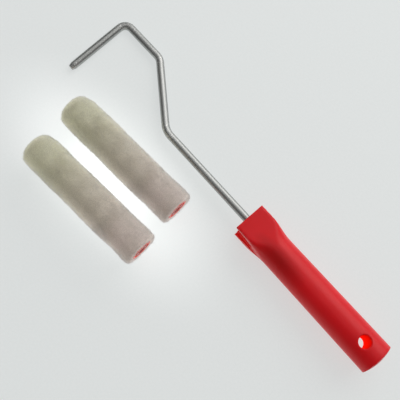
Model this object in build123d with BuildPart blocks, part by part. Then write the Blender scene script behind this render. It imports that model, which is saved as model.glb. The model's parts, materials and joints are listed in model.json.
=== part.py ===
from build123d import *
import os
from math import asin, degrees

# A mini paint roller set: a bent rod frame pushed into a moulded handle, and two
# loose pile sleeves that slip over the frame's arm. Millimetres, +Z up.
#
# The frame is drawn in its own plane, X from the butt of the handle towards the
# rod, Y to the left, and each sleeve along its own X, from the open end to the
# closed end. Both are then laid on the ground, and the origin is the middle of
# the whole set's footprint.

# ---- Driving dimensions: rod frame ----
ROD_DIAMETER = 6.0
ROD_GRIPPED_LENGTH = 84.0     # inside the handle
SHAFT_LENGTH = 89.5           # from the mouth of the handle to the first corner
OFFSET_ANGLE = 36.0
OFFSET_LENGTH = 58.8
LINK_LENGTH = 40.2
ARM_ANGLE = 92.0              # the arm leans back by 2 degrees from square
ARM_LENGTH = 55.5             # from the last corner to the tip
SHAFT_BEND_RADIUS = 17.0
LINK_BEND_RADIUS = 12.0
ARM_BEND_RADIUS = 6.5
TIP_TAPER_LENGTH = 3.0
TIP_TAPER_ANGLE = 16.0

# ---- Driving dimensions: handle ----
HANDLE_LENGTH = 130.0
BUTT_RADIUS = 12.7
BUTT_DOME = 2.3
BUTT_ROUNDING = 2.0
NECK_RADIUS = 12.5
NECK_X = 98.0
WALL = 2.1
BUTT_WALL = 4.0
MOUTH_WIDTH = 24.0
MOUTH_HEIGHT = 25.2
MOUTH_INNER_WIDTH = 15.6
LIP_THICKNESS = 2.4
SIDE_RECESS = 2.3             # how far the side walls stand in from the lips
SIDE_RECESS_START_X = 103.0
NOTCH_START_X = 114.0
NOTCH_HALF_HEIGHT = 7.6
SOCKET_RADIUS = 5.2
SOCKET_END_X = 124.0
SOCKET_CLEARANCE = 0.02
RIB_THICKNESS = 1.8
RIB_START_X = 42.0
RIB_END_X = 110.0
HANG_HOLE_X = 17.0
HANG_HOLE_RADIUS = 4.5
HANG_TUBE_RADIUS = 6.4
HANG_HOLE_ROUNDING = 0.6

# ---- Driving dimensions: sleeve ----
SLEEVE_LENGTH = 110.0
SLEEVE_RADIUS = 13.5
OPEN_END_ROUNDING = 3.0
CLOSED_END_ROUNDING = 4.5
CORE_RADIUS = 8.4
CORE_WALL = 0.9
CORE_INSET = 1.5              # how far the core's open end lies inside the pile's end
PLUG_FACE_INSET = 0.2
PLUG_WALL = 0.7
PLUG_DEPTH = 12.0
COLLAR_WALL = 1.1
COLLAR_END = 9.0
WEB_START = 3.4
WEB_THICKNESS = 1.5
BUSH_BORE_RADIUS = 3.02
BUSH_RADIUS = 4.4
BUSH_FLANGE_RADIUS = 5.3
BUSH_END = 14.0
BUSH_LIP_RADIUS = 4.9
RUNNING_CLEARANCE = 0.05
END_FLOAT = 0.3
TIP_BORE_RADIUS = 3.06
TIP_BEARING_START = 34.0
TIP_BEARING_LENGTH = 12.0
CAP_DEPTH = 11.0
CAP_FACE_INSET = 2.0           # the pile stands past the cap at the closed end
CAP_FLANGE = 1.3

# ---- Where the sleeves lie, in the frame's ground coordinates ----
SLEEVE_CENTRES = [(217.0, 75.3), (222.7, 37.0)]
SLEEVE_HEADINGS = [4.75, 4.1]

# ---- Worked out ----
ROD_RADIUS = ROD_DIAMETER / 2
CORE_INNER_RADIUS = CORE_RADIUS - CORE_WALL
PLUG_INNER_RADIUS = CORE_INNER_RADIUS - PLUG_WALL
COLLAR_RADIUS = BUSH_RADIUS + RUNNING_CLEARANCE
ROD_START_X = HANDLE_LENGTH - ROD_GRIPPED_LENGTH


def step_from(point, heading, length):
    """The point that lies a length away along a heading, in degrees."""
    turn = Vector(length, 0, 0).rotate(Axis.Z, heading)
    return point + turn


rod_start = Vector(ROD_START_X, 0, 0)
shaft_corner = Vector(HANDLE_LENGTH + SHAFT_LENGTH, 0, 0)
link_corner = step_from(shaft_corner, -OFFSET_ANGLE, OFFSET_LENGTH)
arm_corner = step_from(link_corner, 0, LINK_LENGTH)
arm_tip = step_from(arm_corner, ARM_ANGLE, ARM_LENGTH)
taper_start = step_from(arm_corner, ARM_ANGLE, ARM_LENGTH - TIP_TAPER_LENGTH)


# ---- Rod frame: one bar, bent three times, with a blunt taper at the arm's tip ----
with BuildPart() as rod_frame:
    with BuildLine() as rod_route:
        FilletPolyline(
            rod_start, shaft_corner, link_corner, arm_corner, taper_start,
            radius=[SHAFT_BEND_RADIUS, LINK_BEND_RADIUS, ARM_BEND_RADIUS],
        )
    with BuildSketch(Plane(rod_start, z_dir=(1, 0, 0))):
        Circle(ROD_RADIUS)
    sweep()
    with BuildSketch(Plane(taper_start, z_dir=arm_tip - taper_start)):
        Circle(ROD_RADIUS)
    extrude(amount=TIP_TAPER_LENGTH, taper=TIP_TAPER_ANGLE)


# ---- Handle: a round grip that turns into a square mouth with two flat lips ----
# Each section of the horn is its X, its width and height, and its corner radius. The
# first one starts a little inside the grip, so that the horn grows out of it.
HORN_START_X = NECK_X - 4
MOUTH_SECTIONS = [
    (HORN_START_X, 24.2, 24.2, 11.5),
    (112.0, 24.6, 24.9, 8.2),
    (122.0, 24.1, 25.1, 4.0),
    (HANDLE_LENGTH, MOUTH_WIDTH, MOUTH_HEIGHT, 1.0),
]
CAVITY_SECTIONS = [
    (HORN_START_X, 20.0, 20.0, 9.4),
    (112.0, 18.4, 20.3, 6.0),
    (122.0, 16.4, 20.4, 3.0),
    (HANDLE_LENGTH + 1, MOUTH_INNER_WIDTH, MOUTH_HEIGHT - 2 * LIP_THICKNESS, 1.0),
]

with BuildPart() as handle_outside:
    with BuildSketch(Plane.XZ) as grip_profile:
        with BuildLine():
            TangentArc((0, 0), (BUTT_DOME, BUTT_RADIUS), tangent=(0, 1))
            Line((BUTT_DOME, BUTT_RADIUS), (NECK_X, NECK_RADIUS))
            Line((NECK_X, NECK_RADIUS), (NECK_X, 0))
            Line((NECK_X, 0), (0, 0))
        make_face()
        butt_corner = grip_profile.vertices().group_by(Axis.Y)[-1]
        fillet(butt_corner, radius=BUTT_ROUNDING)
    revolve(axis=Axis.X)
    for x, width, height, corner in MOUTH_SECTIONS:
        with BuildSketch(Plane.YZ.offset(x)):
            RectangleRounded(width, height, corner)
    loft()

with BuildPart() as handle_cavity:
    with BuildSketch(Plane.YZ.offset(BUTT_WALL)):
        Circle(BUTT_RADIUS - WALL)
    with BuildSketch(Plane.YZ.offset(NECK_X)):
        Circle(NECK_RADIUS - WALL)
    loft()
    for x, width, height, corner in CAVITY_SECTIONS:
        with BuildSketch(Plane.YZ.offset(x)):
            RectangleRounded(width, height, corner)
    loft()

with BuildPart() as handle_inside:
    with BuildSketch(Plane.YZ.offset(ROD_START_X)):
        Circle(SOCKET_RADIUS)
    extrude(amount=SOCKET_END_X - ROD_START_X)
    with BuildSketch(Plane.YZ.offset(RIB_START_X)):
        Rectangle(2 * BUTT_RADIUS, RIB_THICKNESS)
        Rectangle(RIB_THICKNESS, 2 * BUTT_RADIUS)
    extrude(amount=RIB_END_X - RIB_START_X)
    with BuildSketch(Plane.XY):
        with Locations((HANG_HOLE_X, 0)):
            Circle(HANG_TUBE_RADIUS)
    extrude(amount=BUTT_RADIUS, both=True)
    add(handle_outside.part, mode=Mode.INTERSECT)

with BuildPart() as handle:
    add(handle_outside.part)
    add(handle_cavity.part, mode=Mode.SUBTRACT)
    # The side walls stand in from the lips, more and more towards the mouth.
    for side in (1, -1):
        with BuildSketch(Plane.YZ.offset(SIDE_RECESS_START_X)):
            with Locations((side * (NECK_RADIUS + 1), 0)):
                Rectangle(2, 5)
        with BuildSketch(Plane.YZ.offset(HANDLE_LENGTH + 0.5)):
            with Locations((side * (MOUTH_WIDTH / 2 - SIDE_RECESS + 3), 0)):
                Rectangle(6, MOUTH_HEIGHT - 2 * LIP_THICKNESS)
        loft(mode=Mode.SUBTRACT)
    add(handle_inside.part)
    # A notch in each side wall parts the two lips.
    with BuildSketch(Plane.XZ) as notch:
        with BuildLine():
            Polyline(
                (NOTCH_START_X, 2.2),
                (HANDLE_LENGTH + 1, NOTCH_HALF_HEIGHT),
                (HANDLE_LENGTH + 1, -NOTCH_HALF_HEIGHT),
                (NOTCH_START_X, -2.2),
                close=True,
            )
        make_face()
        fillet(notch.vertices().group_by(Axis.X)[0], radius=2)
    extrude(amount=MOUTH_WIDTH, both=True, mode=Mode.SUBTRACT)
    # The notch also cut the socket, which runs on through it.
    with BuildSketch(Plane.YZ.offset(ROD_START_X)):
        Circle(SOCKET_RADIUS)
    extrude(amount=SOCKET_END_X - ROD_START_X)
    with BuildSketch(Plane.YZ.offset(ROD_START_X)):
        Circle(ROD_RADIUS + SOCKET_CLEARANCE)
    extrude(amount=HANDLE_LENGTH, mode=Mode.SUBTRACT)
    with Locations((HANG_HOLE_X, 0, 0)):
        Hole(HANG_HOLE_RADIUS)
    hole_wall = handle.faces().filter_by(GeomType.CYLINDER).filter_by(
        lambda face: abs(face.radius - HANG_HOLE_RADIUS) < 0.001
    )
    rims = hole_wall[0].edges().filter_by(GeomType.LINE, reverse=True)
    fillet(rims, radius=HANG_HOLE_ROUNDING)


# ---- Sleeve: every piece is turned about the sleeve's own X ----
with BuildPart() as pile_cover:
    with BuildSketch(Plane.XZ) as pile_section:
        with Locations((0, CORE_RADIUS)):
            Rectangle(SLEEVE_LENGTH, SLEEVE_RADIUS - CORE_RADIUS, align=(Align.MIN, Align.MIN))
        outer_corners = pile_section.vertices().group_by(Axis.Y)[-1].sort_by(Axis.X)
        fillet(outer_corners[0], radius=OPEN_END_ROUNDING)
        outer_corners = pile_section.vertices().group_by(Axis.Y)[-1].sort_by(Axis.X)
        fillet(outer_corners[-1], radius=CLOSED_END_ROUNDING)
    revolve(axis=Axis.X)


def turned(rings):
    """A solid turned about X from rings, each (first x, last x, inner r, outer r)."""
    with BuildPart() as piece:
        with BuildSketch(Plane.XZ):
            for first, last, inner, outer in rings:
                with Locations((first, inner)):
                    Rectangle(last - first, outer - inner, align=(Align.MIN, Align.MIN))
        revolve(axis=Axis.X)
    return piece


core_end = SLEEVE_LENGTH - CAP_FACE_INSET - CAP_FLANGE
core_tube = turned([(CORE_INSET, core_end, CORE_INNER_RADIUS, CORE_RADIUS)])

end_plug = turned([
    (PLUG_FACE_INSET, CORE_INSET, PLUG_INNER_RADIUS, CORE_RADIUS),
    (CORE_INSET, PLUG_DEPTH, PLUG_INNER_RADIUS, CORE_INNER_RADIUS),
    (WEB_START, WEB_START + WEB_THICKNESS, COLLAR_RADIUS, PLUG_INNER_RADIUS),
    (CORE_INSET, COLLAR_END, COLLAR_RADIUS, COLLAR_RADIUS + COLLAR_WALL),
])

rod_bush = turned([
    (PLUG_FACE_INSET, CORE_INSET - END_FLOAT, BUSH_BORE_RADIUS, BUSH_FLANGE_RADIUS),
    (PLUG_FACE_INSET, BUSH_END, BUSH_BORE_RADIUS, BUSH_RADIUS),
    (COLLAR_END + END_FLOAT, COLLAR_END + END_FLOAT + 1, BUSH_RADIUS, BUSH_LIP_RADIUS),
])

tip_bearing_end = TIP_BEARING_START + TIP_BEARING_LENGTH
tip_bearing_middle = (TIP_BEARING_START + tip_bearing_end) / 2
tip_bearing = turned([
    (TIP_BEARING_START, tip_bearing_end, TIP_BORE_RADIUS, TIP_BORE_RADIUS + 1.5),
    (
        tip_bearing_middle - WEB_THICKNESS / 2, tip_bearing_middle + WEB_THICKNESS / 2,
        TIP_BORE_RADIUS + 1.5, CORE_INNER_RADIUS,
    ),
    (TIP_BEARING_START + 2, tip_bearing_end - 2, PLUG_INNER_RADIUS, CORE_INNER_RADIUS),
])

closed_cap = turned([
    (core_end - CAP_DEPTH, core_end, PLUG_INNER_RADIUS, CORE_INNER_RADIUS),
    (core_end, core_end + CAP_FLANGE, PLUG_INNER_RADIUS, CORE_RADIUS),
    (core_end - 3, core_end - 3 + WEB_THICKNESS, 0, PLUG_INNER_RADIUS),
])


# ---- Lay everything on the ground ----
# The frame rests on the front edge of its lower lip and on the arm, because the
# rod outweighs the handle: it leans nose down until the arm touches.
lip_drop = MOUTH_HEIGHT / 2
nose_down = degrees(asin((lip_drop - ROD_RADIUS) / (arm_corner.X - HANDLE_LENGTH)))
leaned = Location((0, 0, 0), (0, nose_down, 0))
lip_low = (leaned * Location((HANDLE_LENGTH, 0, -lip_drop))).position.Z
frame_rest = Location((0, 0, -lip_low)) * leaned

sleeve_rests = []
for (x, y), heading in zip(SLEEVE_CENTRES, SLEEVE_HEADINGS):
    turned_about_centre = Location((x, y, SLEEVE_RADIUS), (0, 0, heading))
    sleeve_rests.append(turned_about_centre * Location((-SLEEVE_LENGTH / 2, 0, 0)))

FRAME_PIECES = {"handle": handle, "rod_frame": rod_frame}
SLEEVE_PIECES = {
    "pile_cover": pile_cover,
    "core_tube": core_tube,
    "end_plug": end_plug,
    "rod_bush": rod_bush,
    "tip_bearing": tip_bearing,
    "closed_cap": closed_cap,
}

laid_pieces = {}
for name, piece in FRAME_PIECES.items():
    laid_pieces[name] = frame_rest * piece.part
for number, rest in enumerate(sleeve_rests, start=1):
    for name, piece in SLEEVE_PIECES.items():
        laid_pieces[f"sleeve_{number}_{name}"] = rest * piece.part

footprint = laid_pieces["handle"].bounding_box()
for laid in laid_pieces.values():
    footprint = footprint.add(laid.bounding_box())
middle = footprint.center()
to_origin = Location((-middle.X, -middle.Y, -footprint.min.Z))

os.makedirs("parts", exist_ok=True)
for name, laid in laid_pieces.items():
    finished = to_origin * laid
    finished.label = name
    export_step(finished, f"parts/{name}.step")
print(f"nose down {nose_down:.2f} degrees, set {footprint.size.X:.1f} x "
      f"{footprint.size.Y:.1f} x {footprint.size.Z:.1f} mm")
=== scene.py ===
# %% [markdown]
# # A mini paint roller set
#
# A painter's mini roller is a bent steel bar in a plastic handle. Pile sleeves slip
# over the bar's bare arm and turn on it. Here the tool lies on a pale glowing table
# with two loose sleeves beside it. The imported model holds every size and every
# moving body, and this lesson gives each piece its real surface.

# %% Load the frame
import json
import math

import bmesh
import bpy
import numpy as np
from mathutils import Matrix, Vector, noise


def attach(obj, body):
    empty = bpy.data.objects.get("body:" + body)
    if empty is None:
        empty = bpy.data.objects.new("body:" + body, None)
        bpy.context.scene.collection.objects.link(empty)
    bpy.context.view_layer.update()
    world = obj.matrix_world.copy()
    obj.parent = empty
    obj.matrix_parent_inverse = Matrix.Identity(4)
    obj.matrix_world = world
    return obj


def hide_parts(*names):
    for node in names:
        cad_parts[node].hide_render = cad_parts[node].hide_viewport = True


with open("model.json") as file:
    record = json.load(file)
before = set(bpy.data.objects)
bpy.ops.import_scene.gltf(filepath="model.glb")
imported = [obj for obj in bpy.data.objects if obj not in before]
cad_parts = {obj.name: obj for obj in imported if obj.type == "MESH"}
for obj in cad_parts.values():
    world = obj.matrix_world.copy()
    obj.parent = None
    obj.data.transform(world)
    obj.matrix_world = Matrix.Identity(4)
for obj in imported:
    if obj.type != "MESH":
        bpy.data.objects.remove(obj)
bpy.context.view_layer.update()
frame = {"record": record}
MM = 0.001
MOUNTS = {mount["name"]: mount for mount in frame["record"]["mounts"]}

# %% [markdown]
# ## The camera
#
# The set is looked at from almost straight above, from a bit under half a metre. A
# camera could be aimed with a constraint, but a matrix made from three directions is
# plain to read and never drifts: where the lens looks, what is to its right, and
# what is up in the picture.

# %% Camera
EYE = Vector((-54.8, 70.1, 463.4)) * MM
AIM = Vector((10.1, -13.8, 0.0)) * MM
PICTURE_UP_HEADING = math.radians(-41.28)
SENSOR_WIDTH = 36.0
FOCAL_LENGTH = 58.5


def looking(eye, aim, up_heading):
    """A camera's matrix: it looks from eye to aim, with that ground heading upwards."""
    ahead = (aim - eye).normalized()
    ground_up = Vector((math.cos(up_heading), math.sin(up_heading), 0))
    right = ahead.cross(ground_up).normalized()
    up = right.cross(ahead)
    turn = Matrix((right, up, -ahead)).transposed().to_4x4()
    return Matrix.Translation(eye) @ turn


lens = bpy.data.cameras.new("camera")
lens.sensor_width = SENSOR_WIDTH
lens.lens = FOCAL_LENGTH
camera = bpy.data.objects.new("camera", lens)
bpy.context.scene.collection.objects.link(camera)
camera.matrix_world = looking(EYE, AIM, PICTURE_UP_HEADING)
bpy.context.scene.camera = camera
bpy.context.scene.view_settings.view_transform = "Standard"
print("camera to table:", round((AIM - EYE).length, 3), "m")

# %% [markdown]
# ## Helpers for materials
#
# Every finish below is a Principled shader with a few textures in front of it. These
# helpers make the shader, set its own sockets, and add one texture or one ramp at a
# time, so that each finish reads as a short recipe. Textures read the attribute
# called own: each piece's own frame in millimetres, with X along the piece.

# %% Material helpers


def finish(name, **sockets):
    """A new material and its Principled shader, with sockets set by name."""
    material = bpy.data.materials.new(name)
    material.use_nodes = True
    shader = material.node_tree.nodes["Principled BSDF"]
    for socket, value in sockets.items():
        shader.inputs[socket.replace("_", " ")].default_value = value
    return material, shader


def node(material, kind, inputs=None, **settings):
    """A new node with its settings, and its unlinked inputs given by name."""
    made = material.node_tree.nodes.new(kind)
    for setting, value in settings.items():
        setattr(made, setting, value)
    for socket, value in (inputs or {}).items():
        made.inputs[socket].default_value = value
    return made


def link(material, source, target):
    material.node_tree.links.new(source, target)


def stored(material, name, output="Vector"):
    """What a mesh attribute holds."""
    return node(material, "ShaderNodeAttribute", attribute_name=name).outputs[output]


def place(material, stretch=(1, 1, 1), shift=(0, 0, 0), turn=(0, 0, 0), attribute="own"):
    """A stored place in millimetres, turned, stretched and shifted."""
    sizes = {"Location": shift, "Rotation": turn, "Scale": stretch}
    mapping = node(material, "ShaderNodeMapping", inputs=sizes)
    link(material, stored(material, attribute), mapping.inputs["Vector"])
    return mapping.outputs["Vector"]


def speckle(material, vector, scale=1.0, detail=3.0, roughness=0.55):
    """Noise from 0 to 1, with that many cells in a millimetre."""
    sizes = {"Scale": scale, "Detail": detail, "Roughness": roughness}
    texture = node(material, "ShaderNodeTexNoise", inputs=sizes)
    link(material, vector, texture.inputs["Vector"])
    return texture.outputs["Fac"]


def ramp(material, value, low, high, first=(0, 0, 0), last=(1, 1, 1)):
    """A blend from one colour to another as a value goes from low to high."""
    made = node(material, "ShaderNodeValToRGB")
    for element, position, colour in zip(made.color_ramp.elements, (low, high), (first, last)):
        element.position = position
        element.color = (*colour, 1.0)
    link(material, value, made.inputs["Fac"])
    return made.outputs["Color"]


def blend(material, share, first, second):
    """Mixes two colours by a share. Each colour is a socket or plain numbers.

    A mix node has sockets for every kind of value. Its inputs 6 and 7 and its output 2
    are the ones for colours.
    """
    made = node(material, "ShaderNodeMix", data_type="RGBA")
    link(material, share, made.inputs["Factor"])
    for socket, value in zip((made.inputs[6], made.inputs[7]), (first, second)):
        if isinstance(value, bpy.types.NodeSocket):
            link(material, value, socket)
        else:
            socket.default_value = (*value, 1.0)
    return made.outputs[2]


def spread(material, value, low, high, start=0.0, end=1.0):
    """Stretches a value that runs from start to end, to run from low to high."""
    limits = {"From Min": start, "From Max": end, "To Min": low, "To Max": high}
    made = node(material, "ShaderNodeMapRange", inputs=limits)
    link(material, value, made.inputs["Value"])
    return made.outputs["Result"]


def both(material, first, second):
    """The product of two values."""
    made = node(material, "ShaderNodeMath", operation="MULTIPLY")
    link(material, first, made.inputs[0])
    link(material, second, made.inputs[1])
    return made.outputs["Value"]


def own_axis(material, axis):
    """How far along an axis of its own piece a point is, in millimetres."""
    parts = node(material, "ShaderNodeSeparateXYZ")
    link(material, stored(material, "own"), parts.inputs["Vector"])
    return parts.outputs[axis]


def relief(material, shader, height, distance, under=None):
    """A bump of that height in metres, on top of another bump if one is given."""
    made = node(material, "ShaderNodeBump", inputs={"Distance": distance, "Strength": 1.0})
    link(material, height, made.inputs["Height"])
    if under:
        link(material, under, made.inputs["Normal"])
    link(material, made.outputs["Normal"], shader.inputs["Normal"])
    return made.outputs["Normal"]


print("material helpers ready")

# %% [markdown]
# ## Where the pieces go
#
# Each piece is drawn in millimetres in its own simple frame, with X along the piece,
# and then carried to its place by one matrix. The mounts in the record say where:
# the hang hole gives the tool's frame, and each sleeve's bore gives that sleeve's.

# %% Frames of the tool and of the sleeves
HANG_HOLE_X = 17.0
BORE_START_X = 0.2


def frame_from(origin, x_axis, z_axis):
    """A matrix from millimetres in a local frame to metres in the row frame."""
    y_axis = z_axis.cross(x_axis).normalized()
    x_axis = y_axis.cross(z_axis).normalized()
    turn = Matrix((x_axis, y_axis, z_axis)).transposed().to_4x4()
    return Matrix.Translation(origin) @ turn @ Matrix.Scale(MM, 4)


hole_axis = Vector(MOUNTS["hang_hole"]["axis"])
hole_middle = Vector(MOUNTS["hang_hole"]["pos_m"])
tool_x = Vector((0, 1, 0)).cross(hole_axis).normalized()
TOOL = frame_from(hole_middle - tool_x * HANG_HOLE_X * MM, tool_x, hole_axis)

SLEEVES = {}
for number in (1, 2):
    bore = MOUNTS[f"sleeve_{number}_bore"]
    outwards = Vector(bore["axis"])
    to_end = (bore["dims"]["length_mm"] / 2 + BORE_START_X) * MM
    open_end = Vector(bore["pos_m"]) + outwards * to_end
    SLEEVES[number] = frame_from(open_end, -outwards, Vector((0, 0, 1)))
    print("sleeve", number, "open end at", [round(c, 4) for c in open_end])

# %% [markdown]
# ## Helpers for meshes
#
# Most pieces start as a ring that is drawn out step by step, or as a profile that is
# spun round X, the way a bar, a moulding core or a turned plug is really made. At
# the end a mesh stores its own millimetres, goes to its place, gets its finish, and
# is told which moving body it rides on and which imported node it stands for.

# %% Mesh helpers
SHARP_ANGLE = math.radians(38)


def ring(bm, radius, segments, x=0.0):
    """An open ring of vertices round X, the start of a bar, a tube or a shell."""
    facing = Matrix.Translation((x, 0, 0)) @ Matrix.Rotation(math.pi / 2, 4, "Y")
    return bmesh.ops.create_circle(bm, segments=segments, radius=radius, matrix=facing)["verts"]


def edges_among(verts):
    inside = set(verts)
    return list({e for v in verts for e in v.link_edges if e.other_vert(v) in inside})


def draw_out(bm, edges, along=(0, 0, 0)):
    """Extrudes edges and moves the copy; returns the copy's vertices and edges."""
    made = bmesh.ops.extrude_edge_only(bm, edges=edges)["geom"]
    verts = [e for e in made if isinstance(e, bmesh.types.BMVert)]
    bmesh.ops.translate(bm, vec=along, verts=verts)
    return verts, edges_among(verts)


def round_edges(bm, edges, size, segments=3):
    bmesh.ops.bevel(
        bm, geom=edges, offset=size, offset_type="OFFSET", segments=segments,
        profile=0.5, affect="EDGES", clamp_overlap=True, material=-1,
    )


def lathe(bm, profile, segments=72, rounding=0.0):
    """Spins a closed profile of (x, radius) points round X."""
    verts = [bm.verts.new((x, 0, radius)) for x, radius in profile]
    edges = [bm.edges.new(pair) for pair in zip(verts, verts[1:] + verts[:1])]
    bmesh.ops.spin(
        bm, geom=verts + edges, cent=(0, 0, 0), axis=(1, 0, 0), dvec=(0, 0, 0),
        angle=math.tau, steps=segments, use_merge=True, use_duplicate=False,
    )
    bmesh.ops.remove_doubles(bm, verts=bm.verts, dist=0.001)
    on_axis = [e for e in bm.edges if not e.link_faces]
    bmesh.ops.delete(bm, geom=on_axis, context="EDGES")
    bmesh.ops.recalc_face_normals(bm, faces=bm.faces)
    if rounding:
        corners = [e for e in bm.edges if e.calc_face_angle(0) > math.radians(60)]
        round_edges(bm, corners, rounding, segments=2)


def mesh_of(bm, name):
    """Turns a bmesh into a mesh, smooth except over sharp edges."""
    for face in bm.faces:
        face.smooth = True
    for edge in bm.edges:
        edge.smooth = edge.is_manifold and edge.calc_face_angle(0) < SHARP_ANGLE
    mesh = bpy.data.meshes.new(name)
    bm.to_mesh(mesh)
    bm.free()
    return mesh


def keep_own(mesh):
    """Stores where each vertex is in its piece's own millimetres."""
    places = np.zeros(len(mesh.vertices) * 3, np.float32)
    mesh.vertices.foreach_get("co", places)
    mesh.attributes.new("own", "FLOAT_VECTOR", "POINT").data.foreach_set("vector", places)


def settle(mesh, matrix, material, body, stands_for):
    """Puts a mesh in the row frame as a finished piece."""
    keep_own(mesh)
    mesh.transform(matrix)
    mesh.materials.append(material)
    piece = bpy.data.objects.new(mesh.name, mesh)
    bpy.context.scene.collection.objects.link(piece)
    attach(piece, body)
    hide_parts(stands_for)
    print(f"{piece.name}: {len(mesh.polygons)} faces")
    return piece


print("mesh helpers ready")

# %% [markdown]
# ## The bar
#
# The bar is cold drawn steel with a thin zinc coat. A curve with a round bevel would
# give its shape, but a bar is really made by drawing it straight and bending it over
# a former, and the mesh can be made that way too: extrude for each straight, spin for
# each bend. Each vertex also remembers where it was on the straight bar, in the
# attribute called bar, so the drawing streaks run along the metal round every bend.
# A second attribute, bent, marks the stretches that the bending tool has scuffed.

# %% Bar finish
ZINC = (0.48, 0.49, 0.48)
ZINC_DARK = (0.31, 0.32, 0.315)
ZINC_BRIGHT = (0.64, 0.64, 0.63)
ZINC_ROUGHNESS = (0.30, 0.50)
STREAK_DEPTH, SCUFF_DEPTH = 0.00004, 0.00006


def zinc_finish():
    """Dull bright metal, streaked along the bar and scuffed at its bends."""
    material, shader = finish("drawn_zinc", Metallic=1.0)
    fine = speckle(material, place(material, (0.03, 2.6, 2.6), attribute="bar"), detail=6.0)
    broad = speckle(material, place(material, (0.03, 0.4, 0.4), attribute="bar"))
    grain = speckle(material, place(material, attribute="bar"), 1.5, detail=5.0)
    marks = speckle(material, place(material, (1.3, 0.5, 0.5), attribute="bar"), detail=6.0)
    scuff = both(material, ramp(material, marks, 0.50, 0.60), stored(material, "bent", "Fac"))
    tone = ramp(material, fine, 0.30, 0.72, ZINC_DARK, ZINC)
    tone = blend(material, spread(material, broad, 0.1, 0.7), tone, ZINC)
    tone = blend(material, scuff, tone, ZINC_BRIGHT)
    link(material, tone, shader.inputs["Base Color"])
    link(material, spread(material, grain, *ZINC_ROUGHNESS), shader.inputs["Roughness"])
    first = relief(material, shader, fine, STREAK_DEPTH)
    relief(material, shader, scuff, SCUFF_DEPTH, under=first)
    return material


zinc = zinc_finish()
print("finish:", zinc.name)

# %% Bar
BAR_RADIUS = MOUNTS["axle_arm"]["dims"]["r_mm"]
BAR_SIDES = 36
BAR_START_X = 46.0
SHAFT_CORNER_X = 219.5
SHAFT_BEND = (17.0, -36.0)
OFFSET_RUN = 58.8
LINK_BEND = (12.0, 36.0)
LINK_RUN = 40.2
ARM_BEND = (6.5, 92.0)
ARM_RUN = 55.5
TIP_TAPER = 3.0
TIP_RADIUS = 2.14
BEND_STEPS = 14
SCUFFED_RUN = 9.0


class Bar:
    """A bar that is drawn straight and bent flat, keeping its place on the stock."""

    def __init__(self, bm):
        self.bm = bm
        self.on_bar = bm.verts.layers.float_vector.new("bar")
        self.bent = bm.verts.layers.float.new("bent")
        self.at = Vector((BAR_START_X, 0, 0))
        self.heading = 0.0
        self.end = ring(bm, BAR_RADIUS, BAR_SIDES, BAR_START_X)
        for vert in self.end:
            vert[self.on_bar] = vert.co

    def mark(self, advance, bent):
        for vert in self.end:
            vert[self.on_bar] = Vector(vert[self.on_bar]) + Vector((advance, 0, 0))
            vert[self.bent] = bent

    def straight(self, length, pitch=4.0):
        steps = max(1, round(length / pitch))
        for step in range(steps):
            ahead = Vector((math.cos(self.heading), math.sin(self.heading), 0))
            self.end, _ = draw_out(self.bm, edges_among(self.end), ahead * length / steps)
            self.at += ahead * length / steps
            to_bend = min(step + 1, steps - step - 1) * length / steps
            self.mark(length / steps, max(0.0, 1 - to_bend / SCUFFED_RUN))

    def bend(self, radius, degrees):
        across = Vector((-math.sin(self.heading), math.cos(self.heading), 0))
        centre = self.at + across * math.copysign(radius, degrees)
        step = math.radians(degrees) / BEND_STEPS
        for _ in range(BEND_STEPS):
            made = bmesh.ops.spin(
                self.bm, geom=self.end + edges_among(self.end), cent=centre,
                axis=(0, 0, 1), dvec=(0, 0, 0), angle=step, steps=1, use_duplicate=False,
            )
            self.end = [e for e in made["geom_last"] if isinstance(e, bmesh.types.BMVert)]
            self.mark(radius * abs(step), 1.0)
        turn = Matrix.Rotation(math.radians(degrees), 3, "Z")
        self.at = centre + turn @ (self.at - centre)
        self.heading += math.radians(degrees)


def bend_setback(radius, degrees):
    """How far before its corner a bend starts."""
    return radius * math.tan(math.radians(abs(degrees)) / 2)


bm = bmesh.new()
bar = Bar(bm)
bar_start = bar.end
runs = [SHAFT_CORNER_X - BAR_START_X, OFFSET_RUN, LINK_RUN, ARM_RUN - TIP_TAPER]
bends = [SHAFT_BEND, LINK_BEND, ARM_BEND]
setbacks = [0.0] + [bend_setback(*bend) for bend in bends] + [0.0]
for index, run in enumerate(runs):
    bar.straight(run - setbacks[index] - setbacks[index + 1])
    if index < len(bends):
        bar.bend(*bends[index])
taper_start = edges_among(bar.end)
bar.straight(TIP_TAPER, pitch=TIP_TAPER)
about_tip = Matrix.Translation(-bar.at)
bmesh.ops.scale(bm, vec=[TIP_RADIUS / BAR_RADIUS] * 3, space=about_tip, verts=bar.end)
tip_edges = edges_among(bar.end)
for open_ring in (bar_start, bar.end):
    bmesh.ops.contextual_create(bm, geom=open_ring + edges_among(open_ring))
round_edges(bm, taper_start + tip_edges, 0.35)
bmesh.ops.recalc_face_normals(bm, faces=bm.faces)
print("arm tip at", [round(c, 1) for c in bar.at], "mm in the tool's frame")
settle(mesh_of(bm, "bent_bar"), TOOL, zinc, "frame", "rod_frame")
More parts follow.
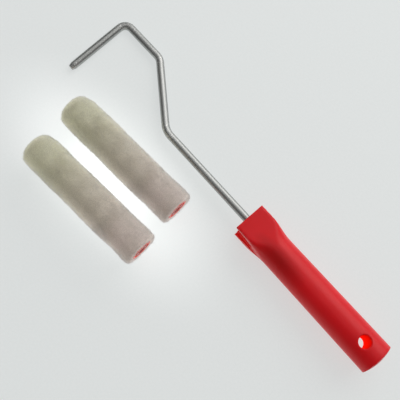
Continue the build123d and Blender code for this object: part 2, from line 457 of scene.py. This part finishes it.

# %% [markdown]
# ## The handle's plastic
#
# The handle is glossy red polypropylene, and thin enough to let some light through.
# A plain glossy red would look painted. Subsurface scattering softens it, a faint
# painted glow, stronger underneath, stands for the table's light in the thin walls,
# slow noise gives the cloudiness of a cheap moulding, and a web of fine scratches
# dulls it a little. Where the bar's socket stands behind the wall, less light comes
# through, so a darker red is painted there as shade. The thin wall of the hang hole
# lets the most of the table's light through, so it has the same finish made again,
# with more painted glow and no gloss. A gloss that changes over one finish would be
# lost when the model is exported.

# %% Handle finish
RED = (0.74, 0.004, 0.012)
RED_LIGHT = (0.82, 0.008, 0.018)
# A darker red painted as shade where the bar's socket stands behind the wall, and where it lies.
RED_PAINTED_SHADE = (0.44, 0.002, 0.006)
PAINTED_SHADE_X, PAINTED_SHADE_Y = 94.0, 5.0
PAINTED_SHADE_LENGTH, PAINTED_SHADE_WIDTH, PAINTED_SHADE_HEIGHT = 26.0, 8.5, 60.0
# The colour of the painted glow that stands for the table's light in the walls.
RED_PAINTED_GLOW = (1.0, 0.015, 0.0)
RED_ROUGHNESS = (0.38, 0.52)
PAINTED_GLOW_LEFT_ON_TOP = 0.38
FLOW_DEPTH, SCRATCH_DEPTH = 0.00012, 0.000008
BUTT_RADIUS = 12.7


def red_finish(name, specular, coat, glow):
    """Red plastic with a gloss, a painted shade, and a painted glow for light coming up through it.
    """
    material, shader = finish(
        name, Subsurface_Weight=0.35, Subsurface_Scale=0.004,
        Subsurface_Radius=(1.0, 0.12, 0.08), Specular_IOR_Level=specular,
        Coat_Weight=coat, Coat_Roughness=0.35, Emission_Color=(*RED_PAINTED_GLOW, 1.0),
    )
    cloud = speckle(material, place(material), 0.03, detail=2.0)
    flow = speckle(material, place(material, (0.02, 0.15, 0.15)), detail=4.0)
    scratch = speckle(material, place(material, (0.12, 2.0, 2.0), turn=(0, 0, 0.5)), detail=2.0)
    tone = ramp(material, cloud, 0.30, 0.75, RED, RED_LIGHT)
    # Painted shade: a soft darker patch on the neck, where the socket blocks the light from below.
    painted_shade_place = place(
        material, stretch=(1 / PAINTED_SHADE_LENGTH, 1 / PAINTED_SHADE_WIDTH, 1 / PAINTED_SHADE_HEIGHT),
        shift=(-PAINTED_SHADE_X / PAINTED_SHADE_LENGTH, -PAINTED_SHADE_Y / PAINTED_SHADE_WIDTH, 0),
    )
    painted_shade = node(material, "ShaderNodeTexGradient", gradient_type="SPHERICAL")
    link(material, painted_shade_place, painted_shade.inputs["Vector"])
    tone = blend(material, ramp(material, painted_shade.outputs["Fac"], 0.0, 0.8), tone, RED_PAINTED_SHADE)
    link(material, tone, shader.inputs["Base Color"])
    scuffs = ramp(material, scratch, 0.62, 0.70)
    link(material, spread(material, scuffs, *RED_ROUGHNESS), shader.inputs["Roughness"])
    # Painted glow for the table's light in the walls: strongest underneath, weaker on top.
    height = own_axis(material, "Z")
    on_top = PAINTED_GLOW_LEFT_ON_TOP * glow
    through = spread(material, height, glow, on_top, -BUTT_RADIUS, BUTT_RADIUS)
    link(material, through, shader.inputs["Emission Strength"])
    first = relief(material, shader, flow, FLOW_DEPTH)
    relief(material, shader, scuffs, SCRATCH_DEPTH, under=first)
    return material


red_plastic = red_finish("red_polypropylene", specular=0.25, coat=0.12, glow=0.14)
# A copy of the red finish with a stronger painted glow and no gloss, for the hole's wall.
hole_wall_painted_glow = red_finish("red_hole_wall_painted_glow", specular=0.0, coat=0.0, glow=0.40)
print("finishes:", red_plastic.name, hole_wall_painted_glow.name)

# %% [markdown]
# ## The handle
#
# The handle is one hollow moulding. A lathe turning with a separate mouth would leave
# a seam where the round grip becomes the square mouth. So its skin is drawn out ring
# by ring, and each ring is reshaped a little more from a circle to a square. The
# hollow is a second skin inside the first. The hang hole opens both skins, with a
# rounded rim, and last the two side recesses and the notch are cut out, as the steel
# cores of the mould do it.

# %% Sections of the handle
GRIP_SIDES = 96
NECK_RADIUS = 12.2
BUTT_DOME = 2.3
HORN_X, MOUTH_X = 94.0, 130.0
SQUARING = (100.0, 119.0)
MOUTH_HALF_WIDTH, MOUTH_HALF_HEIGHT = 12.0, 12.6
MOUTH_CORNER = 0.08
WALL, BUTT_WALL = 2.1, 4.0
HOLLOW_HALF_WIDTH, HOLLOW_HALF_HEIGHT = 7.8, 10.2
HOLE_RADIUS = MOUNTS["hang_hole"]["dims"]["r_mm"]
HOLE_ROUNDING = 0.7
HOLE_WALL = 1.9


def eased(x, start, end):
    """Goes smoothly from 0 to 1 as x goes from start to end."""
    share = min(1.0, max(0.0, (x - start) / (end - start)))
    return share * share * (3 - 2 * share)


def grip_radius(x):
    """The outside radius of the round grip: a dome, then a faint taper."""
    if x < BUTT_DOME:
        dome = (BUTT_RADIUS**2 + BUTT_DOME**2) / (2 * BUTT_DOME)
        return math.sqrt(2 * dome * x - x * x)
    return BUTT_RADIUS + (NECK_RADIUS - BUTT_RADIUS) * (x - BUTT_DOME) / (HORN_X - BUTT_DOME)


def square_reach(angle, rounding):
    """How far a unit square with rounded corners reaches at an angle round it."""
    small, large = sorted((abs(math.cos(angle)), abs(math.sin(angle))))
    flat = 1 - rounding
    if small <= large * flat:
        return 1 / large
    to_corner = (small + large) * flat
    return to_corner + math.sqrt(to_corner**2 - 2 * flat**2 + rounding**2)


def reshape(verts, x, radius, half_width, half_height):
    """Moves a ring to the section at x: a circle on the grip, squarer on the horn."""
    flare = eased(x, HORN_X, MOUTH_X)
    rounding = 1 - (1 - MOUTH_CORNER) * eased(x, *SQUARING)
    for vert in verts:
        angle = math.atan2(vert.co.z, vert.co.y)
        reach = square_reach(angle, rounding)
        vert.co.x = x
        vert.co.y = math.cos(angle) * reach * (radius + (half_width - radius) * flare)
        vert.co.z = math.sin(angle) * reach * (radius + (half_height - radius) * flare)


def draw_skin(bm, stations, wall, half_width, half_height):
    """Draws a skin through the stations, capped at its first; returns its last ring."""
    verts = ring(bm, 1.0, GRIP_SIDES)
    edges = edges_among(verts)
    bmesh.ops.contextual_create(bm, geom=verts + edges)
    for index, x in enumerate(stations):
        if index:
            verts, edges = draw_out(bm, edges)
        radius = grip_radius(min(x, HORN_X)) - wall
        reshape(verts, x, radius, half_width, half_height)
    return edges


def pierce(bm, radius, rounding, wall):
    """Opens the hang hole through both sides of a skin and walls it."""
    middle = Vector((HANG_HOLE_X, 0))
    reach = radius + rounding
    over_hole = [
        f for f in bm.faces
        if (f.calc_center_median().xy - middle).length < reach and abs(f.normal.z) > 0.2
    ]
    bmesh.ops.delete(bm, geom=over_hole, context="FACES")
    rim = [e for e in bm.edges if e.is_boundary and all(v.co.x < HORN_X for v in e.verts)]
    rim_verts = {v for e in rim for v in e.verts}
    for vert in rim_verts:
        outwards = (vert.co.xy - middle).normalized()
        vert.co.xy = middle + outwards * reach
        surface = grip_radius(vert.co.x) - wall
        vert.co.z = math.copysign(math.sqrt(surface**2 - vert.co.y**2), vert.co.z)
    steps = 4 if rounding else 0
    for step in range(steps):
        before = math.radians(90 * step / steps)
        after = math.radians(90 * (step + 1) / steps)
        verts, rim = draw_out(bm, rim)
        for vert in verts:
            outwards = (vert.co.xy - middle).normalized()
            vert.co.xy -= outwards * rounding * (math.sin(after) - math.sin(before))
            drop = rounding * (math.cos(before) - math.cos(after))
            vert.co.z -= math.copysign(drop, vert.co.z)
    bmesh.ops.bridge_loops(bm, edges=rim)


dome_stations = [0.15, 0.5, 1.0, 1.6, BUTT_DOME]
end_stations = list(np.arange(BUTT_DOME + 2.2, 9.9, 1.6)) + list(np.arange(10.5, 24.0, 0.8))
grip_stations = list(np.arange(26.0, HORN_X, 4.0))
horn_stations = list(np.linspace(HORN_X, MOUTH_X, 28))
outer_stations = dome_stations + end_stations + grip_stations + horn_stations
inner_stations = [x for x in outer_stations if x > BUTT_WALL]

hollow = bmesh.new()
draw_skin(hollow, inner_stations, WALL, HOLLOW_HALF_WIDTH, HOLLOW_HALF_HEIGHT)
pierce(hollow, HOLE_RADIUS + HOLE_WALL, 0.0, WALL)
hollow_mesh = mesh_of(hollow, "handle_hollow")

bm = bmesh.new()
draw_skin(bm, outer_stations, 0.0, MOUTH_HALF_WIDTH, MOUTH_HALF_HEIGHT)
pierce(bm, HOLE_RADIUS, HOLE_ROUNDING, 0.0)
bm.from_mesh(hollow_mesh)
bpy.data.meshes.remove(hollow_mesh)
bmesh.ops.bridge_loops(bm, edges=[e for e in bm.edges if e.is_boundary])
bmesh.ops.recalc_face_normals(bm, faces=bm.faces)
print("handle skins:", len(bm.faces), "faces")

# %% [markdown]
# ## The two side recesses and the notch
#
# The side walls stand in from the lips, more and more towards the mouth, and a notch
# in each side wall parts the lips. Both are cut with tapered blocks by the Boolean
# modifier, because it leaves the crisp step that a steel core leaves. A narrow bevel
# then takes the knife edge off every corner, so that the rims catch the light.

# %% Cut the mouth
RECESS_START = (103.0, (12.5, 15.0), 2.5)
RECESS_END = (130.5, (9.7, 15.0), 10.2)
NOTCH_START = (114.0, (-16.0, 16.0), 2.2)
NOTCH_END = (131.0, (-16.0, 16.0), 7.6)
NOTCH_ROUNDING = 1.5
EDGE_ROUNDING = 0.22


def wedge(bm, start, end, side=1):
    """A tapered block. Each end is its x, its y span and its half height."""
    block = bmesh.ops.create_cube(bm, size=2)["verts"]
    for vert in block:
        x, (low, high), half = start if vert.co.x < 0 else end
        vert.co = (x, high if vert.co.y > 0 else low, math.copysign(half, vert.co.z))
    if side < 0:
        bmesh.ops.rotate(bm, matrix=Matrix.Rotation(math.pi, 3, "X"), verts=block)


def object_of(mesh):
    made = bpy.data.objects.new(mesh.name, mesh)
    bpy.context.scene.collection.objects.link(made)
    return made


def changed(piece, kind, **settings):
    """The mesh that a piece has after a modifier."""
    modifier = piece.modifiers.new(kind.lower(), kind)
    for setting, value in settings.items():
        setattr(modifier, setting, value)
    depsgraph = bpy.context.evaluated_depsgraph_get()
    result = bpy.data.meshes.new_from_object(piece.evaluated_get(depsgraph))
    piece.modifiers.remove(modifier)
    return result


recesses = bmesh.new()
for side in (1, -1):
    wedge(recesses, RECESS_START, RECESS_END, side)

notch = bmesh.new()
wedge(notch, NOTCH_START, NOTCH_END)
inner_corners = [
    e for e in notch.edges
    if all(v.co.x < MOUTH_X - 1 for v in e.verts) and abs(e.verts[0].co.y - e.verts[1].co.y) > 1
]
round_edges(notch, inner_corners, NOTCH_ROUNDING, segments=5)

handle = object_of(mesh_of(bm, "handle_uncut"))
for cutter_bm in (recesses, notch):
    cutter = object_of(mesh_of(cutter_bm, "cutter"))
    handle.data = changed(
        handle, "BOOLEAN", operation="DIFFERENCE", use_self=True, object=cutter
    )
    bpy.data.objects.remove(cutter)
handle.data = changed(
    handle, "BEVEL", width=EDGE_ROUNDING, segments=2, limit_method="ANGLE",
    angle_limit=math.radians(50),
)
bm = bmesh.new()
bm.from_mesh(handle.data)
bpy.data.objects.remove(handle)
handle_shell = settle(
    mesh_of(bm, "handle_shell"), TOOL, red_plastic, "frame", "handle"
)

# %% Give the hang hole's wall its painted glow
HOLE_SLACK = 0.05

handle_shell.data.materials.append(hole_wall_painted_glow)
own_places = handle_shell.data.attributes["own"].data
for face in handle_shell.data.polygons:
    corners = [own_places[index].vector for index in face.vertices]
    reach = max(math.hypot(corner.x - HANG_HOLE_X, corner.y) for corner in corners)
    if reach < HOLE_RADIUS + HOLE_SLACK:
        face.material_index = 1
glowing = sum(face.material_index for face in handle_shell.data.polygons)
print("faces on the hang hole's wall:", glowing)

# %% [markdown]
# ## The socket in the handle
#
# The bar is pressed into a tube that stands on a cross of ribs down the middle of the
# handle. It shows in the mouth and in the notches, where light comes through to it.

# %% Socket
SOCKET = [(46.0, 3.02), (46.0, 5.2), (124.0, 5.2), (124.0, 3.02)]
RIB_HALF = (34.0, 10.2, 0.9)
RIB_MIDDLE_X = 76.0

bm = bmesh.new()
lathe(bm, SOCKET, segments=48, rounding=0.3)
for turn in (0, 1):
    rib = bmesh.ops.create_cube(bm, size=2)["verts"]
    turned = Matrix.Rotation(turn * math.pi / 2, 4, "X")
    sized = Matrix.Diagonal((*RIB_HALF, 1))
    at_middle = Matrix.Translation((RIB_MIDDLE_X, 0, 0))
    bmesh.ops.transform(bm, matrix=at_middle @ turned @ sized, verts=rib)
    corners = [e for e in edges_among(rib) if e.calc_face_angle(0) > 1]
    round_edges(bm, corners, 0.15, segments=2)
settle(
    mesh_of(bm, "handle_socket"), TOOL, red_plastic, "frame", "handle"
)

# %% [markdown]
# ## The turned pieces of a sleeve
#
# A sleeve's core is a thin extruded tube. A red plug with a collar closes its near
# end, a bush turns in that collar and grips the bar, a spider deeper in carries the
# bar's tip, and a cap closes the far end. All are round, so each is one profile on
# the lathe, with its corners slightly rounded as moulding leaves them.

# %% Plastics of the sleeves
PLUG_RED = (0.72, 0.030, 0.028)
PLUG_PALE = (0.86, 0.10, 0.085)
NATURAL = (0.74, 0.73, 0.68)
NATURAL_DULL = (0.60, 0.58, 0.52)
BUSH_GREY = (0.42, 0.05, 0.05)
BUSH_DARK = (0.30, 0.02, 0.025)
# The painted glow on the near rims of the plug and bush, and how it fades inwards.
RIM_PAINTED_GLOW = (1.0, 0.12, 0.05)
PAINTED_RIM_GLOW_FADE = (1.5, 3.5)
PAINTED_GLOW_LEFT_INSIDE = 1 / 8
MARK_DEPTH = 0.00003


def moulded_finish(name, tone, other_tone, low_gloss=0.28, high_gloss=0.45, glow=0.0):
    """A small moulding: faint cloudiness, marks round X, uneven gloss, a painted glow on its rim.
    """
    material, shader = finish(
        name, Subsurface_Weight=0.2, Subsurface_Scale=0.002,
        Subsurface_Radius=(1.0, 0.3, 0.2), Emission_Color=(*RIM_PAINTED_GLOW, 1.0),
    )
    if glow:
        # Painted glow: bright on the near rim, fading to a small share further in.
        depth = own_axis(material, "X")
        painted_rim_glow = spread(material, depth, glow, PAINTED_GLOW_LEFT_INSIDE * glow, *PAINTED_RIM_GLOW_FADE)
        link(material, painted_rim_glow, shader.inputs["Emission Strength"])
    cloud = speckle(material, place(material), 0.25)
    marks = speckle(material, place(material, (3.0, 0.2, 0.2)), detail=4.0)
    link(material, ramp(material, cloud, 0.3, 0.7, tone, other_tone), shader.inputs["Base Color"])
    link(material, spread(material, marks, low_gloss, high_gloss), shader.inputs["Roughness"])
    relief(material, shader, marks, MARK_DEPTH)
    return material


plug_plastic = moulded_finish("red_plug_plastic", PLUG_RED, PLUG_PALE, glow=0.16)
core_plastic = moulded_finish("natural_core_plastic", NATURAL, NATURAL_DULL, 0.35, 0.6)
bush_plastic = moulded_finish("bush_plastic", BUSH_GREY, BUSH_DARK, glow=0.10)
print("finishes:", plug_plastic.name, core_plastic.name, bush_plastic.name)

# %% Turned pieces
TURNED = {
    "core_tube": (
        core_plastic, "core_plastic", "roller",
        [(1.5, 7.5), (1.5, 8.4), (106.7, 8.4), (106.7, 7.5)],
    ),
    "end_plug": (
        plug_plastic, "plug_plastic", "roller",
        [
            (0.2, 6.8), (0.2, 8.4), (1.5, 8.4), (1.5, 7.5), (12.0, 7.5), (12.0, 6.8),
            (4.9, 6.8), (4.9, 5.55), (9.0, 5.55), (9.0, 4.45), (1.5, 4.45), (1.5, 5.55),
            (3.4, 5.55), (3.4, 6.8),
        ],
    ),
    "rod_bush": (
        bush_plastic, "bush_plastic", "hub",
        [
            (0.2, 3.02), (0.2, 5.3), (1.2, 5.3), (1.2, 4.4), (9.3, 4.4), (9.3, 4.9),
            (10.3, 4.9), (10.3, 4.4), (14.0, 4.4), (14.0, 3.02),
        ],
    ),
    "tip_bearing": (
        core_plastic, "core_plastic", "roller",
        [
            (34.0, 3.06), (34.0, 4.56), (39.25, 4.56), (39.25, 6.8), (36.0, 6.8),
            (36.0, 7.5), (44.0, 7.5), (44.0, 6.8), (40.75, 6.8), (40.75, 4.56),
            (46.0, 4.56), (46.0, 3.06),
        ],
    ),
    "closed_cap": (
        plug_plastic, "plug_plastic", "roller",
        [
            (95.7, 6.8), (95.7, 7.5), (106.7, 7.5), (106.7, 8.4), (108.0, 8.4),
            (108.0, 6.8), (105.2, 6.8), (105.2, 0.0), (103.7, 0.0), (103.7, 6.8),
        ],
    ),
}

for number, matrix in SLEEVES.items():
    for part, (material, slot, body, profile) in TURNED.items():
        bm = bmesh.new()
        lathe(bm, profile, rounding=0.12)
        settle(
            mesh_of(bm, f"sleeve_{number}_{part}_turned"), matrix, material,
            f"sleeve_{number}_{body}", f"sleeve_{number}_{part}",
        )

# %% [markdown]
# ## The pile
#
# The sleeve's cover is a short woven pile of polyester, bonded to the core. It could
# be one soft tube with a bump on it, but then its outline would be hard. So each
# cover is two pieces: a soft, slightly uneven body, and a coat of some sixty thousand
# short fibres that lean the way the pile was brushed. One fibre is made with the cone
# operator, and the coat places copies of it with arrays, because operators would take
# minutes for so many. Fibres that would go through the table are pressed flat on it.

# %% Pile finish
PILE_NEAR = (0.93, 0.86, 0.83)
PILE_FAR = (0.915, 0.915, 0.775)
PILE_SHADE = (0.82, 0.785, 0.71)
PILE_TRANSLUCENCY = 0.25
PILE_BUMP = 0.0004
# A faint painted glow over all the pile, much stronger at the outline where it turns away.
PILE_PAINTED_GLOW, PILE_PAINTED_RIM_GLOW = 0.05, 0.54
RIM_FACING = (0.18, 0.90)
FIBRE_DULL, FIBRE_PALE = (0.83, 0.82, 0.80), (1.10, 1.09, 1.08)
SLEEVE_LENGTH = 110.0
TONE_CHANGE = (15.0, 90.0)


def pile_finish(name):
    """Off-white fibres, pinker near the plug, partly translucent, with a painted glow at the
    outline.
    """
    material, shader = finish(
        name, Roughness=0.9, Sheen_Weight=0.9, Sheen_Roughness=0.5, Specular_IOR_Level=0.2,
    )
    along = spread(material, own_axis(material, "X"), 0, 1, *TONE_CHANGE)
    patches = speckle(material, place(material), 0.055, detail=2.0)
    fine = speckle(material, place(material), 1.4, detail=4.0)
    tone = blend(material, along, PILE_NEAR, PILE_FAR)
    dull = ramp(material, patches, 0.35, 0.75)
    tone = blend(material, both(material, dull, spread(material, fine, 0.2, 0.8)), tone, PILE_SHADE)
    tint = blend(material, stored(material, "tint", "Fac"), FIBRE_DULL, FIBRE_PALE)
    shaded = node(material, "ShaderNodeMix", data_type="RGBA", blend_type="MULTIPLY")
    shaded.inputs[0].default_value = 1.0
    link(material, tone, shaded.inputs[6])
    link(material, tint, shaded.inputs[7])
    link(material, shaded.outputs[2], shader.inputs["Base Color"])
    link(material, shaded.outputs[2], shader.inputs["Emission Color"])
    relief(material, shader, fine, PILE_BUMP)
    # Painted glow: faint all over, brightest where the pile turns away from view at its outline.
    out = node(
        material, "ShaderNodeVectorTransform",
        vector_type="NORMAL", convert_from="OBJECT", convert_to="WORLD",
    )
    link(material, stored(material, "out"), out.inputs["Vector"])
    turned_away = node(material, "ShaderNodeLayerWeight")
    link(material, out.outputs["Vector"], turned_away.inputs["Normal"])
    facing = turned_away.outputs["Facing"]
    glow = spread(material, facing, PILE_PAINTED_GLOW, PILE_PAINTED_RIM_GLOW, *RIM_FACING)
    link(material, glow, shader.inputs["Emission Strength"])
    through = node(material, "ShaderNodeBsdfTranslucent")
    link(material, shaded.outputs[2], through.inputs["Color"])
    mixed = node(material, "ShaderNodeMixShader", inputs={"Fac": PILE_TRANSLUCENCY})
    link(material, shader.outputs["BSDF"], mixed.inputs[1])
    link(material, through.outputs["BSDF"], mixed.inputs[2])
    surface = material.node_tree.nodes["Material Output"].inputs["Surface"]
    link(material, mixed.outputs["Shader"], surface)
    return material


pile_white = pile_finish("pile_white")
print("finish:", pile_white.name)

# %% Pile body
PILE_RADIUS = 13.5
CORE_RADIUS = 8.4
OPEN_ROUNDING, CLOSED_ROUNDING = 1.6, 4.5
BODY_INSET = 0.9
FACE_START = 9.6
FAR_FACE_X = 108.6
FAR_WEAR, NEAR_WEAR = 1.7, 0.2
SWELL, TUFTS = (0.55, 0.055), (0.28, 0.22)


def pile_outline(inset, arc_steps=8):
    """Points (x, radius) over the pile's outside, from its open face to its far face."""
    points = [(inset, FACE_START)]
    top = PILE_RADIUS - inset
    corners = [
        (inset + OPEN_ROUNDING, OPEN_ROUNDING, 180, 90),
        (FAR_FACE_X - CLOSED_ROUNDING, CLOSED_ROUNDING, 90, 0),
    ]
    for x, rounding, first, last in corners:
        for angle in np.radians(np.linspace(first, last, arc_steps)):
            radius = top - rounding + rounding * math.sin(angle)
            points.append((x + rounding * math.cos(angle), radius))
    points.append((FAR_FACE_X, FACE_START))
    return points


def unevenness(point, sleeve):
    """How far the pile swells or dips at a point, in millimetres."""
    away = (1 - point[1] / PILE_RADIUS) / 2
    worn = FAR_WEAR * (0.4 + away) * eased(point[0], 98.0, SLEEVE_LENGTH)
    worn += NEAR_WEAR * (1 - eased(point[0], 0.0, 7.0))
    depth = eased(math.hypot(point[1], point[2]), CORE_RADIUS, PILE_RADIUS)
    point = Vector(point) + Vector((0, 0, 50.0 * sleeve))
    wave = sum(size * noise.noise(point * pace) for size, pace in (SWELL, TUFTS))
    return (wave - worn) * depth


def subdivided(outline, pitch):
    """The outline with points no further apart than a pitch."""
    points = [outline[0]]
    for start, end in zip(outline, outline[1:]):
        steps = max(1, math.ceil(math.dist(start, end) / pitch))
        points += [tuple(p) for p in np.linspace(start, end, steps + 1)[1:]]
    return points


def keep_outwards(mesh, directions, matrix):
    """Stores, for every vertex, which way is out of the pile, in the row frame."""
    turned = directions @ np.array(matrix.to_3x3().normalized()).T
    kept = mesh.attributes.new("out", "FLOAT_VECTOR", "POINT")
    kept.data.foreach_set("vector", turned.astype(np.float32).ravel())


for number, matrix in SLEEVES.items():
    bm = bmesh.new()
    outside = subdivided(pile_outline(BODY_INSET), 1.5)
    bore = [(FAR_FACE_X, CORE_RADIUS), (BODY_INSET, CORE_RADIUS)]
    lathe(bm, outside + bore, segments=90)
    for vert in bm.verts:
        from_axis = Vector((0, vert.co.y, vert.co.z))
        if from_axis.length > CORE_RADIUS + 0.5:
            vert.co += from_axis.normalized() * unevenness(vert.co, number)
    mesh = mesh_of(bm, f"sleeve_{number}_pile_body")
    keep_outwards(mesh, np.array([v.normal for v in mesh.vertices]), matrix)
    body = settle(
        mesh, matrix, pile_white, f"sleeve_{number}_roller",
        f"sleeve_{number}_pile_cover",
    )

# %% Pile fibres
FIBRES = 62000
FIBRE_WIDTH = (0.075, 0.13)
FIBRE_LENGTH = (1.5, 2.5)
FIBRE_LEAN = (35.0, 66.0)
STRAY_SHARE, STRAY_SHARE_NEAR = 0.006, 0.05
STRAY_LENGTH, STRAY_WIDTH = 1.7, 0.6
NEAR_END_X = 2.0
FAR_SHORTENING = 0.55
BRUSHED_HEADING, HEADING_SPREAD = 0.9, 0.45
SWIRL_TURN, SWIRL_PACE = 2.6, 0.07
TABLE_GAP = 0.03
SEED = 7


def one_fibre():
    """The vertices and faces of a cone one unit long, to be copied."""
    bm = bmesh.new()
    bmesh.ops.create_cone(bm, segments=3, radius1=1.0, radius2=0.0, depth=1.0, cap_ends=False)
    bmesh.ops.remove_doubles(bm, verts=bm.verts, dist=0.001)
    bmesh.ops.translate(bm, vec=(0, 0, 0.5), verts=bm.verts)
    verts = np.array([v.co for v in bm.verts])
    faces = np.array([[v.index for v in f.verts] for f in bm.faces])
    bm.free()
    return verts, faces


def unit(vectors):
    return vectors / np.linalg.norm(vectors, axis=1, keepdims=True)


def fibre_roots(dice, sleeve):
    """Places on the pile's outside, and which way is out there."""
    outline = np.array(subdivided(pile_outline(BODY_INSET), 0.5))
    steps = np.diff(outline, axis=0)
    middles = (outline[1:] + outline[:-1]) / 2
    area = np.linalg.norm(steps, axis=1) * middles[:, 1]
    pick = dice.choice(len(steps), FIBRES, p=area / area.sum())
    spot = outline[pick] + steps[pick] * dice.random((FIBRES, 1))
    out = unit(np.stack((-steps[:, 1], steps[:, 0]), axis=1))[pick]
    angle = dice.random(FIBRES) * math.tau
    around = np.stack((np.cos(angle), np.sin(angle)), axis=1)
    roots = np.column_stack((spot[:, 0], spot[:, 1:] * around))
    outwards = np.column_stack((out[:, 0], out[:, 1:] * around))
    swell = np.array([unevenness(root, sleeve) for root in roots])
    roots[:, 1:] += around * swell[:, None]
    return roots, outwards


def brushed(roots, outwards, dice):
    """The way each fibre leans: mostly round the sleeve, swirling from place to place."""
    swirl = np.array([noise.noise(Vector(root) * SWIRL_PACE) for root in roots])
    heading = BRUSHED_HEADING + SWIRL_TURN * swirl + dice.normal(0, HEADING_SPREAD, FIBRES)
    around = unit(np.cross(np.tile((1.0, 0.0, 0.0), (FIBRES, 1)), outwards) + 1e-6)
    along = np.cross(around, outwards)
    flat = around * np.cos(heading)[:, None] + along * np.sin(heading)[:, None]
    lean = np.radians(dice.uniform(*FIBRE_LEAN, FIBRES))[:, None]
    return unit(outwards * np.cos(lean) + flat * np.sin(lean))


for number, matrix in SLEEVES.items():
    dice = np.random.default_rng(SEED + number)
    shape, shape_faces = one_fibre()
    roots, outwards = fibre_roots(dice, number)
    leaning = brushed(roots, outwards, dice)
    length = dice.uniform(*FIBRE_LENGTH, FIBRES)
    stray_share = np.where(roots[:, 0] < NEAR_END_X, STRAY_SHARE_NEAR, STRAY_SHARE)
    stray = dice.random(FIBRES) < stray_share
    length[stray] *= STRAY_LENGTH
    on_far_face = outwards[:, 0] > 0.7
    length *= 1 - FAR_SHORTENING * on_far_face
    width = dice.uniform(*FIBRE_WIDTH, FIBRES)
    width[stray] *= STRAY_WIDTH
    side = unit(np.cross(leaning, dice.normal(size=(FIBRES, 3))))
    other_side = np.cross(leaning, side)
    frames = np.stack(
        (side * width[:, None], other_side * width[:, None], leaning * length[:, None]), axis=1
    )
    verts = (roots[:, None] + shape @ frames).reshape(-1, 3)
    verts[:, 2] = np.maximum(verts[:, 2], TABLE_GAP - PILE_RADIUS)
    faces = (shape_faces + len(shape) * np.arange(FIBRES)[:, None, None]).reshape(-1, 3)
    mesh = bpy.data.meshes.new(f"sleeve_{number}_pile_fibres")
    mesh.from_pydata(verts, [], faces, shade_flat=False)
    tints = np.repeat(dice.random(FIBRES), len(shape)).astype(np.float32)
    mesh.attributes.new("tint", "FLOAT", "POINT").data.foreach_set("value", tints)
    keep_outwards(mesh, np.repeat(outwards, len(shape), axis=0), matrix)
    settle(
        mesh, matrix, pile_white, f"sleeve_{number}_roller",
        f"sleeve_{number}_pile_cover",
    )

# %% [markdown]
# ## The table and the light
#
# The set lies on a pale matt sheet that glows from below, like a light table. The
# glow is strongest round the sleeves. Two soft boxes, one high above and one lower
# at the near side, light it from above. They are weaker than the table, so that
# white pile looks greyer than it. The room is dim, which keeps dark lines on the bar.

# %% Table and light
TABLE_TONE = (0.20, 0.21, 0.21)
TABLE_TONE_PALE = (0.24, 0.245, 0.245)
GLOW_TONE = (0.965, 1.0, 0.995)
GLOW_LOW, GLOW_HIGH = 0.595, 1.22
GLOW_MIDDLE = (65.0, 28.0)
GLOW_REACH = (138.0, 68.0)
TABLE_HALF = 1500.0

material, shader = finish("light_table", Roughness=0.75)
grain = speckle(material, place(material), 0.6, detail=4.0)
tone = ramp(material, grain, 0.2, 0.8, TABLE_TONE, TABLE_TONE_PALE)
link(material, tone, shader.inputs["Base Color"])
glow_place = place(
    material, stretch=(1 / GLOW_REACH[0], 1 / GLOW_REACH[1], 0),
    shift=(-GLOW_MIDDLE[0] / GLOW_REACH[0], -GLOW_MIDDLE[1] / GLOW_REACH[1], 0),
)
glow = node(material, "ShaderNodeTexGradient", gradient_type="QUADRATIC_SPHERE")
link(material, glow_place, glow.inputs["Vector"])
shader.inputs["Emission Color"].default_value = (*GLOW_TONE, 1.0)
strength = spread(material, glow.outputs["Fac"], GLOW_LOW, GLOW_HIGH)
link(material, strength, shader.inputs["Emission Strength"])

bm = bmesh.new()
bmesh.ops.create_grid(bm, x_segments=24, y_segments=24, size=TABLE_HALF)
mesh = mesh_of(bm, "table")
keep_own(mesh)
mesh.transform(Matrix.Scale(MM, 4))
mesh.materials.append(material)
table = object_of(mesh)


def soft_light(name, where, size, power, tone):
    """A square lamp that looks at the middle of the set."""
    lamp = bpy.data.lights.new(name, "AREA")
    lamp.shape = "SQUARE"
    lamp.size = size
    lamp.energy = power
    lamp.color = tone
    light = bpy.data.objects.new(name, lamp)
    bpy.context.scene.collection.objects.link(light)
    light.location = where
    light.rotation_euler = (-Vector(where)).to_track_quat("-Z", "Y").to_euler()


ROOM_TONE = (0.96, 0.96, 0.94)
ROOM_LIGHT = 0.15

soft_light(
    "top_softbox", where=(0.16, -0.50, 1.20), size=2.0, power=6.0, tone=(1.0, 1.0, 0.99)
)
soft_light(
    "side_softbox", where=(0.15, -1.25, 0.95), size=1.5, power=12.0, tone=(1.0, 0.98, 0.96)
)

room = bpy.data.worlds.new("room")
room.use_nodes = True
background = room.node_tree.nodes["Background"]
background.inputs["Color"].default_value = (*ROOM_TONE, 1.0)
background.inputs["Strength"].default_value = ROOM_LIGHT
bpy.context.scene.world = room
